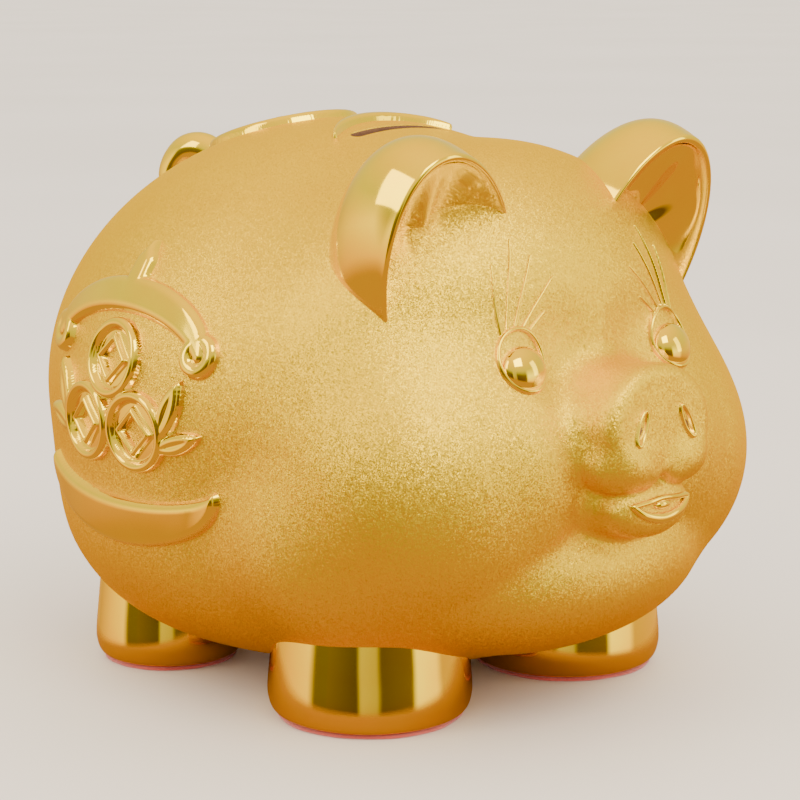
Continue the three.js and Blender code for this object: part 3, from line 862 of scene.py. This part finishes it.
for piece, y, spans, step, height in (("medal_ring", MEDAL_Y, ((-28.5, 28.5), (-28.5, 28.5)), 0.4, ring_height),
                                      ("medal_flower", MEDAL_Y, ((-17, 17), (-17, 17)), 0.3, flower_height),
                                      ("slot_arch", SLOT_Y - 24, ((-31, 31), (22, 42)), 0.35, slot_arch_height)):
    finished(relief(piece + "_fine", (0, y, 150), UP, spans, step, height), piece)


# ---------------------------------------------------------------- stopper
flange_top = skin_point(0, HOLE_Y, -60)[0][2] - 0.3
# radius, and height from the top of the flange: the face with its grip groove, the flange, the plug and its hollow
STOPPER = [(0, -2.2), (8, -2.2), (10.5, -2.15), (11.0, -1.6), (12.0, -1.6), (12.5, -2.15), (19.8, -2.2), (21.2, -2.0),
           (21.9, -1.4), (22.0, -0.7), (21.8, -0.1), (21.0, 0), (17.85, 0), (17.6, 1.0), (17.6, 4.2), (17.85, 4.8),
           (17.7, 5.6), (17.0, 6.4), (16.0, 6.5), (14.6, 6.3), (14.35, 5.5), (14.3, 2.2), (13.2, 1.5), (0, 1.5)]
stopper_profile = [(r, flange_top + z) for r, z in STOPPER]
finished(turned("belly_stopper_fine", stopper_profile, 0, HOLE_Y, VINYL, 112), "belly_stopper",
         "stopper")


# ---------------------------------------------------------------- floor, light, camera
FLOOR_R = 14.0                          # metres
PAINTED_REFLECTION_EDGE = (0.115, 0.145)             # metres; where the honey painted reflection of a table top starts to fade out and where it has gone


def floor_material():
    """Pale to the eye; the plating alone sees a honey colour near the pig, a painted reflection of a table top that
    ends a little way out.
    """
    mt, nt, bsdf, node, coord = material("floor_pale_with_painted_reflection")
    link = nt.links.new
    soft = node("ShaderNodeTexNoise", Scale=2.0, Detail=2.0)
    link(coord, soft.inputs["Vector"])
    pale = ramp(nt, soft.outputs["Fac"], [(0.3, (0.78, 0.71, 0.63)), (0.7, (0.82, 0.75, 0.67))])
    link(pale, bsdf.inputs["Base Color"])
    bsdf.inputs["Roughness"].default_value = 0.6
    # painted reflection: only glossy rays see this honey colour, which warms the mirrored underside of the plating
    painted_honey_reflection = node("ShaderNodeBsdfDiffuse")
    painted_honey_reflection.inputs["Color"].default_value = (0.34, 0.155, 0.03, 1)
    clear = node("ShaderNodeBsdfTransparent")
    reach = node("ShaderNodeVectorMath", operation="LENGTH")
    link(coord, reach.inputs[0])
    edge = node("ShaderNodeMapRange")
    edge.inputs["From Min"].default_value, edge.inputs["From Max"].default_value = PAINTED_REFLECTION_EDGE
    link(reach.outputs["Value"], edge.inputs["Value"])
    painted_reflection_fade = node("ShaderNodeMixShader")
    link(edge.outputs["Result"], painted_reflection_fade.inputs[0])
    link(painted_honey_reflection.outputs[0], painted_reflection_fade.inputs[1])
    link(clear.outputs[0], painted_reflection_fade.inputs[2])
    mirrored = node("ShaderNodeMixShader")
    link(node("ShaderNodeLightPath").outputs["Is Glossy Ray"], mirrored.inputs[0])
    link(bsdf.outputs[0], mirrored.inputs[1])
    link(painted_reflection_fade.outputs[0], mirrored.inputs[2])
    link(mirrored.outputs[0], nt.nodes["Material Output"].inputs["Surface"])
    return mt


me = bpy.data.meshes.new("floor")
t = np.linspace(0, 2 * np.pi, 96, endpoint=False)
me.from_pydata([(FLOOR_R * math.cos(a), FLOOR_R * math.sin(a), 0) for a in t], [], [list(range(96))])
me.materials.append(floor_material())
floor = bpy.data.objects.new("floor", me)
bpy.context.scene.collection.objects.link(floor)

world = bpy.data.worlds.new("studio")
bpy.context.scene.world = world
world.use_nodes = True
wt = world.node_tree
link = wt.links.new
backdrop = wt.nodes["Background"]
backdrop.inputs["Color"].default_value = (1.0, 0.96, 0.92, 1)
backdrop.inputs["Strength"].default_value = 2.3

# the room that only the plating mirrors: bright windows, dark furniture and a warm ceiling
direction = wt.nodes.new("ShaderNodeTexCoord").outputs["Generated"]
split = wt.nodes.new("ShaderNodeSeparateXYZ")
link(direction, split.inputs[0])
altitude = wt.nodes.new("ShaderNodeMapRange")       # 0 straight down, 0.5 on the horizon, 1 straight up
altitude.inputs["From Min"].default_value = -1
link(split.outputs["Z"], altitude.inputs["Value"])
turn = wt.nodes.new("ShaderNodeTexGradient")
turn.gradient_type = "RADIAL"
link(direction, turn.inputs["Vector"])
walls = ramp(wt, turn.outputs["Color"], [
    (0.000, (0.24, 0.19, 0.12)), (0.095, (0.13, 0.10, 0.06)), (0.107, (0.95, 0.86, 0.50)), (0.155, (0.80, 0.70, 0.40)),
    (0.170, (0.16, 0.12, 0.06)), (0.270, (0.24, 0.17, 0.07)), (0.288, (2.4, 2.3, 1.0)), (0.360, (2.3, 1.95, 0.7)),
    (0.385, (1.15, 0.83, 0.25)), (0.550, (1.45, 1.03, 0.35)), (0.750, (1.05, 0.75, 0.25)), (0.850, (1.7, 1.22, 0.42)),
    (0.930, (2.0, 1.6, 0.55)), (0.955, (0.22, 0.19, 0.12))])
level = ramp(wt, altitude.outputs["Result"], [
    (0.0, (0.75, 0.35, 0.06)), (0.32, (0.72, 0.35, 0.06)), (0.38, (0.85, 0.60, 0.30)), (0.50, (1.0, 0.94, 0.72)),
    (0.58, (1.0, 0.94, 0.68)), (0.68, (1.10, 0.93, 0.48)), (0.80, (1.35, 1.00, 0.34)), (1.0, (1.80, 1.20, 0.30))])
wall_share = ramp(wt, altitude.outputs["Result"], [
    (0.31, (0, 0, 0)), (0.37, (1, 1, 1)), (0.53, (1, 1, 1)), (0.60, (0.5, 0.5, 0.5)), (0.68, (0, 0, 0))])
mixer = wt.nodes.new("ShaderNodeMix")
mixer.data_type = "RGBA"
mixer.blend_type = "MULTIPLY"
link(wall_share, mixer.inputs[0])
link(level, mixer.inputs[6])          # the two colours; the sockets before them are for numbers and vectors
link(walls, mixer.inputs[7])
room = wt.nodes.new("ShaderNodeBackground")
link(mixer.outputs[2], room.inputs["Color"])
pick = wt.nodes.new("ShaderNodeMixShader")
link(wt.nodes.new("ShaderNodeLightPath").outputs["Is Glossy Ray"], pick.inputs[0])
link(backdrop.outputs[0], pick.inputs[1])
link(room.outputs[0], pick.inputs[2])
link(pick.outputs[0], wt.nodes["World Output"].inputs["Surface"])


def aimed(name, data, where, way):
    """Puts a light or camera in the scene, looking along a direction."""
    ob = bpy.data.objects.new(name, data)
    bpy.context.scene.collection.objects.link(ob)
    ob.location = where
    ob.rotation_mode = "QUATERNION"
    ob.rotation_quaternion = way.to_track_quat("-Z", "Y")
    return ob


def soft_box(name, where, size, power, colour):
    data = bpy.data.lights.new(name, "AREA")
    data.shape = "RECTANGLE"
    data.size, data.size_y = size
    data.energy = power
    data.color = colour
    aimed(name, data, where, Vector((0, 0, 0.1)) - Vector(where))


soft_box("key", (-0.25, -0.85, 1.05), (0.7, 0.6), 8, (1.0, 0.90, 0.66))
soft_box("left", (-1.2, 0.3, 0.9), (0.5, 0.9), 6, (1.0, 0.80, 0.42))
soft_box("right", (0.8, -1.0, 0.5), (0.35, 0.8), 2.0, (1.0, 0.88, 0.60))

CAMERA_AZ, CAMERA_EL, CAMERA_DIST = math.radians(-42.1), math.radians(10.8), 0.838
CAMERA_AIM = Vector((0, -0.00556, 0.094))
back = Vector((math.sin(CAMERA_AZ) * math.cos(CAMERA_EL), -math.cos(CAMERA_AZ) * math.cos(CAMERA_EL),
               math.sin(CAMERA_EL)))
cam = bpy.data.cameras.new("camera")
cam.lens = 108
cam.sensor_width = 36
cam.clip_start = 0.05
bpy.context.scene.camera = aimed("camera", cam, CAMERA_AIM + back * CAMERA_DIST, -back)
